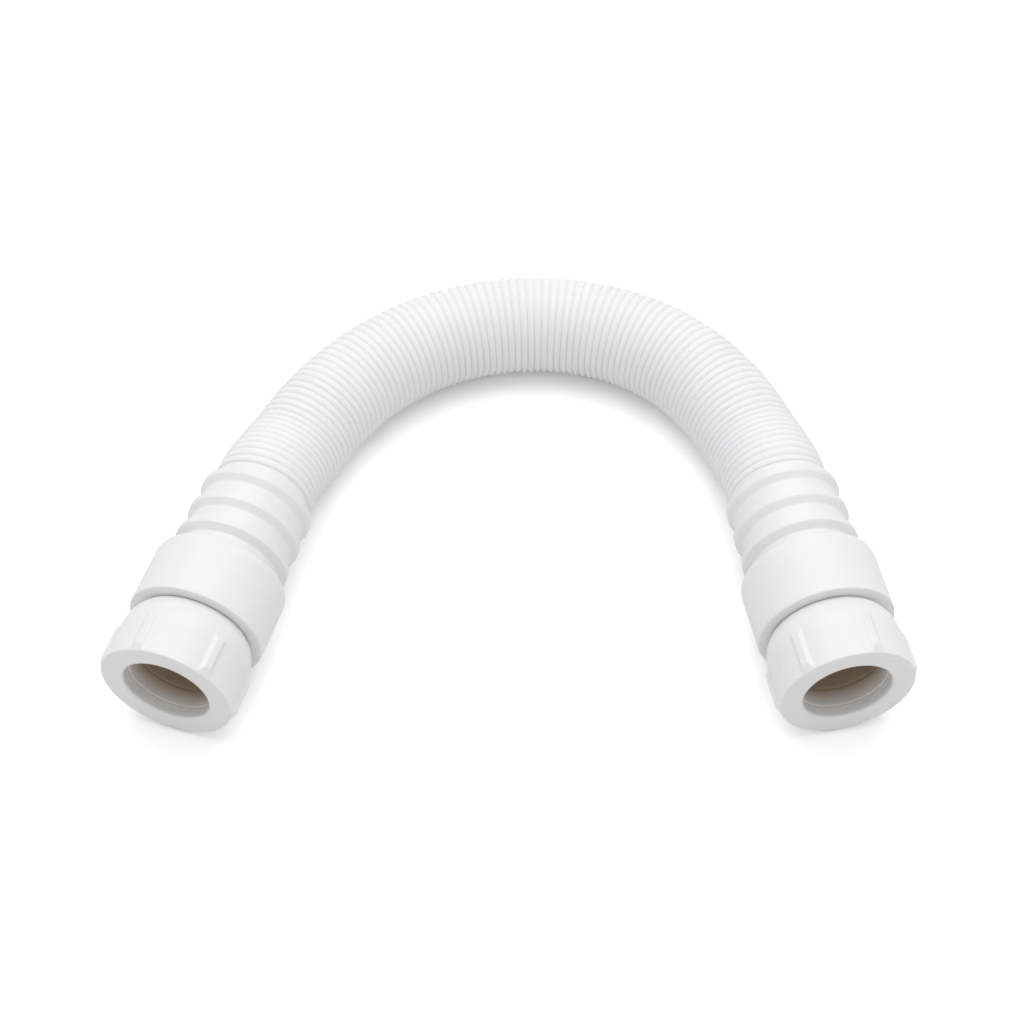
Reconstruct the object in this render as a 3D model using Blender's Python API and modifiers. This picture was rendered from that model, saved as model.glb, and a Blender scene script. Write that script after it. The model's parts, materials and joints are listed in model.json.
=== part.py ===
"""Flexible waste hose: a ribbed hose with a ribbed cuff, a socket body and a hand nut at each end.

Each end is described along its own axis. The distance "along" starts at the front face of the nut
and grows towards the hose. Everything is in metres, with +Z up and the hose lying on Z = 0.
"""

import math

import bmesh
import bpy
import numpy as np
from mathutils import Matrix, Vector

MM = 0.001

# Clearance that touching pieces keep
FIT_GAP = 0.3 * MM

# The pipe that each end takes, and the nut's threaded joint
PIPE_RADIUS = 20.7 * MM
PIPE_CLEARANCE = 0.5 * MM
BORE_CLEARANCE = 0.7 * MM
SPIGOT_WALL = 4.0 * MM
THREAD_CLEARANCE = 0.4 * MM

# Hand nut
NUT_LENGTH = 34.8 * MM
NUT_WALL = 6.8 * MM
NUT_REAR_WALL = 1.6 * MM
NUT_FLANGE = 4.0 * MM
NUT_EDGE = 0.8 * MM
NUT_MOUTH_EDGE = 1.7 * MM
NUT_SHOULDER_START = 19.0 * MM
NUT_DRAFT = 0.2 * MM
LUG_COUNT = 6
LUG_BASE_WIDTH = 6.5 * MM
LUG_TOP_WIDTH = 3.0 * MM
LUG_HEIGHT = 1.5 * MM
LUG_DEPTH = 2.5 * MM
LUG_START = 0.5 * MM
LUG_RAMP = 3.5 * MM
LUG_TOP_END = 19.5 * MM
LUG_END = 26.5 * MM
LUG_TURN_DEG = 12.0

# Slip washer and seal
WASHER_THICKNESS = 1.7 * MM
SEAL_SQUEEZE = 0.1 * MM
SEAL_LENGTH = 9.0 * MM
SEAL_BAND = 2.2 * MM
SEAL_WIDTH = 4.0 * MM
SEAL_TAIL = 1.2 * MM

# Socket body
SPIGOT_SETBACK = 1.5 * MM
NUT_STEP_GAP = 0.8 * MM
STEP_WALL = 6.0 * MM
PIPE_STOP = 3.0 * MM
PIPE_STOP_HEIGHT = 2.2 * MM
BARREL_WALL = 4.1 * MM
BARREL_STEP_UP = 0.8 * MM
BARREL_LENGTH = 33.8 * MM
BARREL_EDGE = 0.9 * MM
BARREL_SHOULDER_LENGTH = 5.0 * MM
BARREL_SHOULDER_DROP = 2.0 * MM

# Ribbed cuff
CUFF_WALL = 1.7 * MM
CUFF_HOSE_GRIP = 32.0 * MM
CUFF_END = 119.6 * MM
RIB_COUNT = 5
HIDDEN_RIBS = 2
RIB_PITCH = 15.6 * MM
RIB_LAST = 110.7 * MM
RIB_THICKNESS = 3.3 * MM
RIB_FLANK = 3.8 * MM
RIB_BACK = 0.8 * MM
RIB_TAPER = 0.3 * MM

# Hose
HOSE_RADIUS = 25.3 * MM
HOSE_LENGTH = 384.0 * MM
HOSE_LEAD = 4.2 * MM
RIDGE_PITCH = 4.18 * MM
RIDGE_HEIGHT = 1.2 * MM
HOSE_WALL = 1.5 * MM
BORE_STEP = 9.0 * MM

# The bend between the straight leads at both cuffs: how far the hose turns, its first heading, and
# how the turning is spread along it
BEND_TURN_DEG = 151.55
BEND_START_DEG = 101.05
BEND_MIDDLE_SHARE = 0.289
BEND_SKEW = 0.127
BEND_FLATTEN = 0.151
SETTLE_LENGTH = 40.0 * MM
ROUTE_STEPS = 120

# Facets around each piece
FITTING_SIDES = 28
HOSE_SIDES = 16

# Sizes worked out from the ones above
MOUTH_RADIUS = PIPE_RADIUS + PIPE_CLEARANCE
BODY_BORE = PIPE_RADIUS + BORE_CLEARANCE
SPIGOT_RADIUS = BODY_BORE + SPIGOT_WALL
NUT_BORE = SPIGOT_RADIUS + THREAD_CLEARANCE
NUT_RADIUS = NUT_BORE + NUT_WALL
LUG_TOP = NUT_RADIUS + LUG_HEIGHT
LUG_LOW_DEG = 180.0 / LUG_COUNT - LUG_TURN_DEG - math.degrees(math.atan2(LUG_TOP_WIDTH / 2, LUG_TOP))
LUG_REACH = math.hypot(LUG_TOP, LUG_TOP_WIDTH / 2) * math.cos(math.radians(LUG_LOW_DEG))
BARREL_RADIUS = NUT_RADIUS + BARREL_STEP_UP
AXIS_HEIGHT = max(LUG_REACH, BARREL_RADIUS)
WASHER_FRONT = NUT_FLANGE + FIT_GAP
SEAL_FRONT = WASHER_FRONT + WASHER_THICKNESS + FIT_GAP
SEAL_INNER = PIPE_RADIUS - SEAL_SQUEEZE
SPIGOT_FRONT = SEAL_FRONT + SEAL_BAND + SPIGOT_SETBACK
STEP_AT = NUT_LENGTH + NUT_STEP_GAP
SOCKET_FLOOR = STEP_AT + STEP_WALL
SOCKET_RADIUS = BARREL_RADIUS - BARREL_WALL
BARREL_END = STEP_AT + BARREL_LENGTH
HOSE_ROOT = HOSE_RADIUS - RIDGE_HEIGHT
HOSE_BORE = HOSE_ROOT - HOSE_WALL
CUFF_SEAT = HOSE_ROOT + FIT_GAP
CUFF_RADIUS = CUFF_SEAT + CUFF_WALL
CUFF_FLOOR = CUFF_END - CUFF_HOSE_GRIP
HOSE_GRIP = CUFF_HOSE_GRIP - FIT_GAP
BEND_LENGTH = HOSE_LENGTH - 2 * HOSE_LEAD


def new_collection(name):
    """Make an empty collection in the scene."""
    collection = bpy.data.collections.new(name)
    bpy.context.scene.collection.children.link(collection)
    return collection


def clear_scene():
    """Remove whatever the scene holds."""
    for item in list(bpy.data.objects):
        bpy.data.objects.remove(item, do_unlink=True)


def plastic(name, colour, roughness):
    """A plain Principled material."""
    material = bpy.data.materials.new(name)
    material.use_nodes = True
    shader = material.node_tree.nodes["Principled BSDF"]
    shader.inputs["Base Color"].default_value = (*colour, 1.0)
    shader.inputs["Roughness"].default_value = roughness
    shader.inputs["Metallic"].default_value = 0.0
    return material


def place(item, collection, parent=None):
    """Link an object and hang it on its parent empty, with the empty as its frame."""
    collection.objects.link(item)
    item.parent = parent
    return item


def settle(item, material, crease_deg=32.0):
    """Turn the modifiers' result into the object's own mesh, shaded smooth with crisp corners."""
    bpy.context.view_layer.update()
    evaluated = item.evaluated_get(bpy.context.evaluated_depsgraph_get())
    mesh = bpy.data.meshes.new_from_object(evaluated)
    item.modifiers.clear()
    item.data = mesh
    mesh.name = item.name
    mesh.materials.clear()
    mesh.materials.append(material)
    mesh.shade_smooth()
    mesh.set_sharp_from_angle(angle=math.radians(crease_deg))
    return item


def turned(name, outline, sides, collection, parent=None):
    """Turn a closed outline of (along, radius) points about the local X axis.

    The outline runs forward along its inner side and back along its outer side, which points the
    faces outwards.
    """
    mesh = bpy.data.meshes.new(name)
    points = [(along, 0.0, radius) for along, radius in outline]
    edges = [(index, (index + 1) % len(points)) for index in range(len(points))]
    mesh.from_pydata(points, edges, [])
    item = place(bpy.data.objects.new(name, mesh), collection, parent)
    screw = item.modifiers.new("turn", "SCREW")
    screw.axis = "X"
    screw.angle = math.tau
    screw.steps = sides
    screw.render_steps = sides
    screw.use_merge_vertices = True
    screw.merge_threshold = 0.00001
    return item


def arc(centre, radius, start_deg, end_deg, count):
    """Points along a quarter round or any other arc, in the (along, radius) plane."""
    angles = np.radians(np.linspace(start_deg, end_deg, count))
    return [(centre[0] + radius * math.cos(a), centre[1] + radius * math.sin(a)) for a in angles]


def nut_outline():
    """Closed outline of the hand nut: flanged mouth, threaded bore, domed shoulder."""
    rear_radius = NUT_BORE + NUT_REAR_WALL
    inner = arc((NUT_MOUTH_EDGE, MOUTH_RADIUS + NUT_MOUTH_EDGE), NUT_MOUTH_EDGE, 180.0, 270.0, 3)
    inner += [(NUT_FLANGE, MOUTH_RADIUS), (NUT_FLANGE, NUT_BORE), (NUT_LENGTH, NUT_BORE)]
    swing = np.radians(np.linspace(90.0, 0.0, 6)[:-1])
    shoulder_length = NUT_LENGTH - NUT_SHOULDER_START
    shoulder_drop = NUT_RADIUS - rear_radius
    outer = [
        (NUT_SHOULDER_START + shoulder_length * math.cos(a), rear_radius + shoulder_drop * math.sin(a))
        for a in swing[::-1]
    ]
    front_radius = NUT_RADIUS - NUT_DRAFT
    outer += arc((NUT_EDGE, front_radius - NUT_EDGE), NUT_EDGE, 90.0, 180.0, 3)
    return inner + outer


def lug_half_width(radius):
    """Half the width of a lug at a radius, from its base on the nut to its narrower top."""
    rise = (radius - NUT_RADIUS) / LUG_HEIGHT
    return (LUG_BASE_WIDTH + (LUG_TOP_WIDTH - LUG_BASE_WIDTH) * rise) / 2


def lug_tool(name, turn_deg, collection, parent):
    """The grip lugs as one set of loose bars, each a flat outline given its width."""
    root = NUT_RADIUS - LUG_DEPTH
    outline = [
        (LUG_START, root),
        (LUG_START, NUT_RADIUS - NUT_DRAFT),
        (LUG_START + LUG_RAMP, LUG_TOP),
        (LUG_TOP_END, LUG_TOP),
        (LUG_END, root),
    ]
    curve = bpy.data.curves.new(name, "CURVE")
    curve.dimensions = "2D"
    curve.fill_mode = "BOTH"
    curve.extrude = LUG_BASE_WIDTH / 2
    spline = curve.splines.new("POLY")
    spline.points.add(len(outline) - 1)
    for point, (along, radius) in zip(spline.points, outline):
        point.co = (along, radius, 0.0, 1.0)
    spline.use_cyclic_u = True
    flat = place(bpy.data.objects.new(name, curve), collection)
    bpy.context.view_layer.update()
    evaluated = flat.evaluated_get(bpy.context.evaluated_depsgraph_get())
    bar = bpy.data.meshes.new_from_object(evaluated)
    bpy.data.objects.remove(flat, do_unlink=True)
    for vertex in bar.vertices:
        vertex.co.z = math.copysign(lug_half_width(vertex.co.y), vertex.co.z)

    shape = bmesh.new()
    for number in range(LUG_COUNT):
        first = len(shape.verts)
        shape.from_mesh(bar)
        shape.verts.ensure_lookup_table()
        turn = Matrix.Rotation(math.radians(turn_deg + 360.0 * number / LUG_COUNT), 3, "X")
        bmesh.ops.rotate(shape, cent=(0, 0, 0), matrix=turn, verts=shape.verts[first:])
    bmesh.ops.remove_doubles(shape, verts=shape.verts, dist=0.00001)
    bmesh.ops.recalc_face_normals(shape, faces=shape.faces)
    mesh = bpy.data.meshes.new(name)
    shape.to_mesh(mesh)
    shape.free()
    bpy.data.meshes.remove(bar)
    tool = place(bpy.data.objects.new(name, mesh), collection, parent)
    tool.hide_render = True
    tool.display_type = "WIRE"
    return tool


def make_nut(name, turn_deg, frame, parts, tools, material):
    """Hand nut: a turned shell with its grip lugs joined on."""
    nut = turned(name, nut_outline(), FITTING_SIDES, parts, frame)
    union = nut.modifiers.new("lugs", "BOOLEAN")
    union.operation = "UNION"
    union.solver = "EXACT"
    union.object = lug_tool(name + "_lugs", turn_deg, tools, frame)
    return settle(nut, material)


def make_washer(name, frame, parts, material):
    """Flat slip washer behind the nut's front wall."""
    back = WASHER_FRONT + WASHER_THICKNESS
    outer = NUT_BORE - FIT_GAP
    outline = [(WASHER_FRONT, MOUTH_RADIUS), (back, MOUTH_RADIUS), (back, outer), (WASHER_FRONT, outer)]
    return settle(turned(name, outline, FITTING_SIDES, parts, frame), material)


def seal_taper(along):
    """Radius of the seal's sloping back at a distance along the axis."""
    start = SEAL_FRONT + SEAL_BAND
    share = (along - start) / (SEAL_LENGTH - SEAL_BAND)
    return SEAL_INNER + SEAL_WIDTH + (SEAL_TAIL - SEAL_WIDTH) * share


def make_seal(name, frame, parts, material):
    """Tapered rubber ring that sits in the cone of the spigot's mouth."""
    back = SEAL_FRONT + SEAL_LENGTH
    outline = [
        (SEAL_FRONT, SEAL_INNER),
        (back, SEAL_INNER),
        (back, seal_taper(back)),
        (SEAL_FRONT + SEAL_BAND, SEAL_INNER + SEAL_WIDTH),
        (SEAL_FRONT, SEAL_INNER + SEAL_WIDTH),
    ]
    return settle(turned(name, outline, FITTING_SIDES, parts, frame), material)


def make_body(name, frame, parts, material):
    """Socket body: coned spigot for the nut, pipe stop, and the barrel that takes the cuff."""
    slope = (SEAL_WIDTH - SEAL_TAIL) / (SEAL_LENGTH - SEAL_BAND)
    cone_gap = FIT_GAP * math.hypot(1.0, slope)
    cone_start = seal_taper(SPIGOT_FRONT) + cone_gap
    cone_length = (cone_start - BODY_BORE) / slope
    stop_radius = BODY_BORE - PIPE_STOP_HEIGHT
    stop_at = SOCKET_FLOOR - PIPE_STOP
    outline = [
        (SPIGOT_FRONT, cone_start),
        (SPIGOT_FRONT + cone_length, BODY_BORE),
        (stop_at, BODY_BORE),
        (stop_at, stop_radius),
        (SOCKET_FLOOR, stop_radius),
        (SOCKET_FLOOR, SOCKET_RADIUS),
        (BARREL_END, SOCKET_RADIUS),
    ]
    outline += [
        (
            BARREL_END - BARREL_SHOULDER_LENGTH * (1.0 - math.cos(a)),
            BARREL_RADIUS - BARREL_SHOULDER_DROP * (1.0 - math.sin(a)),
        )
        for a in np.radians(np.linspace(0.0, 90.0, 5))
    ]
    front_centre = (STEP_AT + BARREL_EDGE, BARREL_RADIUS - BARREL_EDGE)
    outline += arc(front_centre, BARREL_EDGE, 90.0, 180.0, 3)
    outline += [(STEP_AT, SPIGOT_RADIUS), (SPIGOT_FRONT, SPIGOT_RADIUS)]
    return settle(turned(name, outline, FITTING_SIDES, parts, frame), material)


def rib_outline(number):
    """One flange rib, from its steep back to its sloping front."""
    near = RIB_LAST - (RIB_COUNT - 1 - number) * RIB_PITCH
    step_down = RIB_TAPER * max(0, number - HIDDEN_RIBS)
    crest = SOCKET_RADIUS - FIT_GAP - step_down
    far = near + RIB_THICKNESS
    return [
        (far + RIB_BACK, CUFF_RADIUS),
        (far, crest),
        (near, crest),
        (near - RIB_FLANK, CUFF_RADIUS),
    ]


def make_cuff(name, frame, parts, material):
    """Ribbed cuff: pushed into the barrel at one end and round the plain hose end at the other."""
    front = SOCKET_FLOOR + FIT_GAP
    outline = [(front, HOSE_BORE), (CUFF_FLOOR, HOSE_BORE), (CUFF_FLOOR, CUFF_SEAT), (CUFF_END, CUFF_SEAT)]
    outline.append((CUFF_END, CUFF_RADIUS))
    for number in reversed(range(RIB_COUNT)):
        outline += rib_outline(number)
    outline.append((front, CUFF_RADIUS))
    return settle(turned(name, outline, FITTING_SIDES, parts, frame), material)


def bend_headings(count):
    """Heading of the free hose at evenly spaced stations, in radians.

    The turning is strongest near the middle and a little stronger early on: a constant share, less a
    cosine of one wave, plus a sine of one wave, less a cosine of two waves.
    """
    share = np.linspace(0.0, 1.0, count + 1)
    wave = math.tau * share
    turning = 1.0 - BEND_MIDDLE_SHARE * np.cos(wave) + BEND_SKEW * np.sin(wave)
    turning -= BEND_FLATTEN * np.cos(2 * wave)
    turned_so_far = np.concatenate([[0.0], np.cumsum((turning[1:] + turning[:-1]) / 2) / count])
    return math.radians(BEND_START_DEG) + math.radians(BEND_TURN_DEG) * turned_so_far


def hose_route():
    """Points of the hose's centre line, straight in and just past each cuff, curved between them."""
    headings = bend_headings(ROUTE_STEPS)
    middles = (headings[1:] + headings[:-1]) / 2
    step = BEND_LENGTH / ROUTE_STEPS
    x = np.concatenate([[0.0], np.cumsum(np.cos(middles)) * step])
    y = np.concatenate([[0.0], np.cumsum(np.sin(middles)) * step])
    distance = np.linspace(0.0, BEND_LENGTH, ROUTE_STEPS + 1)
    from_end = np.minimum(distance, BEND_LENGTH - distance)
    fall = np.clip(from_end / SETTLE_LENGTH, 0.0, 1.0)
    eased = fall * fall * (3.0 - 2.0 * fall)
    z = AXIS_HEIGHT + (HOSE_RADIUS - AXIS_HEIGHT) * eased
    free = np.stack([x, y, z], axis=1)
    first = np.array([math.cos(headings[0]), math.sin(headings[0]), 0.0])
    last = np.array([math.cos(headings[-1]), math.sin(headings[-1]), 0.0])
    before = free[0] - first * (HOSE_GRIP + HOSE_LEAD)
    after = free[-1] + last * (HOSE_GRIP + HOSE_LEAD)
    return np.vstack([before, free, after]), first, -last


def route_curve(points, collection, parent):
    """The centre line as a guide curve for the hose to follow."""
    curve = bpy.data.curves.new("hose_route", "CURVE")
    curve.dimensions = "3D"
    curve.twist_mode = "Z_UP"
    curve.use_deform_bounds = False
    spline = curve.splines.new("POLY")
    spline.points.add(len(points) - 1)
    for point, place_on_route in zip(spline.points, points):
        point.co = (*place_on_route, 1.0)
    guide = place(bpy.data.objects.new("hose_route", curve), collection, parent)
    guide.hide_render = True
    guide.display_type = "WIRE"
    return guide


def hose_outline():
    """Closed outline of the straight hose: plain bore, plain ends, and ridges between them."""
    ridge_count = round(HOSE_LENGTH / RIDGE_PITCH)
    pitch = HOSE_LENGTH / ridge_count
    free_start = HOSE_GRIP
    total = HOSE_LENGTH + 2 * HOSE_GRIP
    bore_count = round(total / BORE_STEP)
    outline = [(total * number / bore_count, HOSE_BORE) for number in range(bore_count + 1)]
    outline.append((total, HOSE_ROOT))
    for number in reversed(range(ridge_count)):
        root = free_start + (number + 1) * pitch
        outline.append((root, HOSE_ROOT))
        outline.append((root - pitch / 2, HOSE_RADIUS))
    outline.append((free_start, HOSE_ROOT))
    outline.append((0.0, HOSE_ROOT))
    return outline


def make_hose(guide, parts, parent, material):
    """The ribbed hose, turned straight and then bent along its route."""
    hose = turned("hose", hose_outline(), HOSE_SIDES, parts, parent)
    bend = hose.modifiers.new("bend", "CURVE")
    bend.object = guide
    bend.deform_axis = "POS_X"
    return settle(hose, material, crease_deg=60.0)


def end_frame(name, bend_end, inward, collection, parent):
    """Empty at the front face of a nut, with its X axis pointing towards the hose."""
    frame = bpy.data.objects.new(name, None)
    place(frame, collection, parent)
    frame.location = Vector(bend_end) - Vector(inward) * (CUFF_END + HOSE_LEAD)
    frame.rotation_euler = (0.0, 0.0, math.atan2(inward[1], inward[0]))
    return frame


def make_end(side, frame, turn_deg, parts, tools, white, cream):
    """Everything that sits on one end of the hose."""
    make_cuff(side + "_cuff", frame, parts, white)
    make_body(side + "_body", frame, parts, white)
    make_seal(side + "_seal", frame, parts, cream)
    make_washer(side + "_washer", frame, parts, white)
    make_nut(side + "_nut", turn_deg, frame, parts, tools, white)


def centre_on_floor(parts, base):
    """Move the whole assembly so that the origin is below the middle of its box."""
    bpy.context.view_layer.update()
    corners = [
        item.matrix_world @ vertex.co
        for item in parts.objects
        if item.type == "MESH"
        for vertex in item.data.vertices
    ]
    low = [min(corner[axis] for corner in corners) for axis in range(3)]
    high = [max(corner[axis] for corner in corners) for axis in range(3)]
    base.location = (-(low[0] + high[0]) / 2, -(low[1] + high[1]) / 2, -low[2])
    bpy.context.view_layer.update()


def main():
    """Build the hose and both of its ends."""
    clear_scene()
    parts = new_collection("flexible_waste_hose")
    tools = new_collection("guides_and_tools")
    white = plastic("white_plastic", (0.86, 0.86, 0.87), 0.42)
    matt_white = plastic("hose_plastic", (0.85, 0.85, 0.86), 0.5)
    cream = plastic("seal_rubber", (0.45, 0.40, 0.34), 0.7)
    base = bpy.data.objects.new("assembly", None)
    place(base, parts)

    route, right_inward, left_inward = hose_route()
    guide = route_curve(route, tools, base)
    make_hose(guide, parts, base, matt_white)
    right = end_frame("right_end", route[1], right_inward, parts, base)
    left = end_frame("left_end", route[-2], left_inward, parts, base)
    make_end("right", right, -LUG_TURN_DEG, parts, tools, white, cream)
    make_end("left", left, LUG_TURN_DEG, parts, tools, white, cream)
    centre_on_floor(parts, base)


main()
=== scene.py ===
# %% [markdown]
# # A flexible waste hose, dressed for its picture
#
# The object is a white plastic hose that carries waste water. A fine ribbed hose is bent into an
# arch, and each end of it carries the same five pieces: a ribbed cuff, a socket body, a rubber seal,
# a slip washer and a nut that is turned by hand.
#
# The solids come from another file and are loaded here as a fixed frame. They are plain and faceted,
# so each one gets a finer piece in the same place. Every finer piece here is a surface worked out
# with numpy: rings of points at chosen distances along an axis, and columns of points at chosen
# angles round it.

import json
import math

import bpy
import numpy as np
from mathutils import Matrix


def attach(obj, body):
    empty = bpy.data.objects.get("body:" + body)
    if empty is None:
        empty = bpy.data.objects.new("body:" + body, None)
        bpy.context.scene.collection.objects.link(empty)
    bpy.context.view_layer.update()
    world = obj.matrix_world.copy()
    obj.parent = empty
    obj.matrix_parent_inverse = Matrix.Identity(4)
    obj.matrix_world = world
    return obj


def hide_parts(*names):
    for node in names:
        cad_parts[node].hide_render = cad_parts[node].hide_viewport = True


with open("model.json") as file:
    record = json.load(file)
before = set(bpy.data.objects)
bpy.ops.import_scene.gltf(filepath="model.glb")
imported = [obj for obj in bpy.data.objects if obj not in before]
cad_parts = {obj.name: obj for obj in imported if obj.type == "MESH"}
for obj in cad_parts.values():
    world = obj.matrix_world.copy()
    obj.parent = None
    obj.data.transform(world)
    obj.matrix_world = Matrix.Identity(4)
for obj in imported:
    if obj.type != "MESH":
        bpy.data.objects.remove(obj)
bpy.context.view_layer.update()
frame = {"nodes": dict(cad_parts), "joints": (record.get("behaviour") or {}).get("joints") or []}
MM = 0.001
print("solids:", sorted(frame["nodes"]))

# %% [markdown]
# ## The camera
#
# The camera is placed to see the object as the photograph does. The nuts' round mouths
# and the steps behind them look like ellipses in the picture, and how flat and how far apart these
# ellipses are gives the camera's height and distance. The answer is a long lens of 72 mm that looks
# down at 53 degrees from a little over a metre away.

# %% Camera
LENS = 72.07
SENSOR = 36.0
PITCH_DEG = 52.93
DISTANCE = 1.05294
CLIP_END = 20.0
AIM = np.array([0.00174, 0.00349, 0.0])


def add_camera():
    """Camera on the line that leaves the aim point towards the viewer, PITCH_DEG above the floor."""
    pitch = math.radians(PITCH_DEG)
    data = bpy.data.cameras.new("photo_camera")
    data.lens = LENS
    data.sensor_width = SENSOR
    data.clip_end = CLIP_END
    camera = bpy.data.objects.new("photo_camera", data)
    camera.location = AIM + DISTANCE * np.array([0.0, -math.cos(pitch), math.sin(pitch)])
    camera.rotation_euler = (math.pi / 2 - pitch, 0.0, 0.0)
    bpy.context.scene.collection.objects.link(camera)
    bpy.context.scene.camera = camera
    return camera


camera = add_camera()
print("camera at", [round(value, 3) for value in camera.location])

# %% [markdown]
# ## Where the two ends are
#
# Each nut turns about the axis of its own end of the hose. The frame's hinge knows that axis and the
# middle of the nut's front face, so the hinge is the best place to read both from. Every fitting is
# then described by two numbers: how far along the axis from the nut's face, and how far out from it.


# %% Frame of each end
def end_frame(side):
    """Face centre, the direction into the hose, the level direction across it, and up."""
    hinge = next(joint for joint in frame["joints"] if joint["name"] == side + "_nut_turn")
    face = np.array(hinge["pos_m"], float)
    inward = -np.array(hinge["axis"], float)
    inward /= np.linalg.norm(inward)
    across = np.array([-inward[1], inward[0], 0.0])
    return face, inward, across, np.array([0.0, 0.0, 1.0])


ends = {side: end_frame(side) for side in ("left", "right")}
for side, (face, inward, across, up) in ends.items():
    print(side, "face", face.round(4), "points into the hose along", inward.round(3))

# %% [markdown]
# ## Meshes from grids
#
# A tube, a ring and a nut are all the same kind of surface: a closed outline carried round an axis.
# If the points are kept in a grid of rows and columns, the faces are the same for every shape, and
# both directions of the grid close on themselves, so the surface has no seam and no open edge.


# %% Closed grid to mesh
def closed_grid(name, grid):
    """Mesh of a grid of points (rows, columns, 3) that closes on itself in both directions.

    Each face joins four neighbours: this point, the next column, the next row's next column and the
    next row. The UV map holds the share of the way round and of the way along.
    """
    rows, columns = grid.shape[:2]
    row = np.arange(rows)[:, None]
    column = np.arange(columns)[None, :]
    next_row = (row + 1) % rows
    next_column = (column + 1) % columns
    corners = np.stack(
        [
            row * columns + column,
            row * columns + next_column,
            next_row * columns + next_column,
            next_row * columns + column,
        ],
        axis=-1,
    ).reshape(-1, 4)
    mesh = bpy.data.meshes.new(name)
    mesh.vertices.add(rows * columns)
    mesh.vertices.foreach_set("co", grid.reshape(-1).astype(np.float32))
    mesh.loops.add(corners.size)
    mesh.loops.foreach_set("vertex_index", corners.reshape(-1).astype(np.int32))
    mesh.polygons.add(len(corners))
    mesh.polygons.foreach_set("loop_start", np.arange(0, corners.size, 4, dtype=np.int32))
    mesh.update(calc_edges=True)
    around = np.stack([column, column + 1, column + 1, column], axis=-1) / columns
    along = np.stack([row, row, row + 1, row + 1], axis=-1) / rows
    shape = (rows, columns, 4)
    uv = np.stack([np.broadcast_to(around, shape), np.broadcast_to(along, shape)], axis=-1)
    layer = mesh.uv_layers.new(name="UVMap")
    layer.data.foreach_set("uv", uv.reshape(-1).astype(np.float32))
    mesh.shade_smooth()
    mesh.validate()
    piece = bpy.data.objects.new(name, mesh)
    bpy.context.scene.collection.objects.link(piece)
    return piece


# %% [markdown]
# ## Soft corners
#
# Moulded plastic has no perfectly sharp corner. A corner of an outline is replaced by a short curve
# that starts and ends on its two edges and is pulled towards the corner. One extra point on each edge
# keeps the flat parts beside it looking flat, because smooth shading bends only between points. The
# large roundings, on the shoulders of nut and barrel, are parts of an ellipse instead.


# %% Rounding and spacing an outline
CORNER_POINTS = 5
EDGE_SHARE = 0.45
SUPPORT_SHARE = 0.48
SUPPORT_REACH = 1.25
SHOULDER_POINTS = 9
CLOSEST_POINTS = 0.02 * MM


def rounded(outline, radii):
    """Closed outline with each corner P replaced by a curve between points A and B on its edges.

    The curve is (1-t)^2 A + 2t(1-t) P + t^2 B. A and B are the corner's radius away from P, but never
    more than 45% of the edge, and a support point lies a little further out on each edge.
    """
    points = np.array(outline, float)
    radius = np.broadcast_to(np.array(radii, float), len(points))[:, None]
    to_last = np.roll(points, 1, axis=0) - points
    to_next = np.roll(points, -1, axis=0) - points
    last_length = np.linalg.norm(to_last, axis=1, keepdims=True)
    next_length = np.linalg.norm(to_next, axis=1, keepdims=True)
    last_cut = np.minimum(radius, EDGE_SHARE * last_length)
    next_cut = np.minimum(radius, EDGE_SHARE * next_length)
    start = points + to_last / last_length * last_cut
    finish = points + to_next / next_length * next_cut
    t = np.linspace(0.0, 1.0, CORNER_POINTS)[None, :, None]
    curve = (1 - t) ** 2 * start[:, None] + 2 * t * (1 - t) * points[:, None] + t**2 * finish[:, None]
    last_support = np.minimum(last_cut * SUPPORT_REACH, SUPPORT_SHARE * last_length)
    next_support = np.minimum(next_cut * SUPPORT_REACH, SUPPORT_SHARE * next_length)
    before = points + to_last / last_length * last_support
    after = points + to_next / next_length * next_support
    return np.concatenate([before[:, None], curve, after[:, None]], axis=1).reshape(-1, 2)


def spaced(outline, gap):
    """The same closed outline with more points, so that neighbours are no further apart than gap.

    The points sit at equal distances along the outline, together with the outline's own corners.
    """
    closed = np.vstack([outline, outline[:1]])
    walked = np.concatenate([[0.0], np.cumsum(np.linalg.norm(np.diff(closed, axis=0), axis=1))])
    count = int(math.ceil(walked[-1] / gap))
    stops = np.union1d(walked[:-1], np.linspace(0.0, walked[-1], count, endpoint=False))
    stops = stops[np.concatenate([[True], np.diff(stops) > CLOSEST_POINTS])]
    return np.stack([np.interp(stops, walked, closed[:, axis]) for axis in (0, 1)], axis=1)


def quarter_shoulder(end, reach, low, high, start_deg=0.0):
    """Points of a rounded shoulder, part of an ellipse from (end, low) to (end - reach, high).

    The swing runs from start_deg to 90 degrees, and its two coordinates are scaled to fill the box.
    """
    start = math.radians(start_deg)
    swing = np.radians(np.linspace(start_deg, 90.0, SHOULDER_POINTS))
    fallen = np.cos(swing) / math.cos(start)
    risen = (np.sin(swing) - math.sin(start)) / (1.0 - math.sin(start))
    along = end - reach * (1.0 - fallen)
    radius = low + (high - low) * risen
    return [tuple(point) for point in np.stack([along, radius], axis=1)]


def smooth_step(share):
    """A share e of the way from 0 to 1 as 3e^2 - 2e^3, which starts and ends level."""
    share = np.clip(share, 0.0, 1.0)
    return share * share * (3.0 - 2.0 * share)


# %% [markdown]
# ## Round pieces
#
# A lathe turns a piece while a tool follows an outline. The function below does the same: it carries
# an outline round the axis of one end. A relief may push single points in or out, which is how the
# grip lugs and the threads grow out of an otherwise round piece. Each point also remembers how deep
# inside the mouth it lies, so that the bore can be given a painted shade, warmer and darker further
# in.

# %% Turned pieces
SIDES = 144
BORE_LIMIT = 22.3 * MM
# Painted shade: inside the bore it grows from nothing to full over this distance into the mouth.
BORE_SHADE_START = 6.0 * MM
BORE_SHADE_END = 17.0 * MM
SAME_RADIUS = 0.05 * MM


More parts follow.
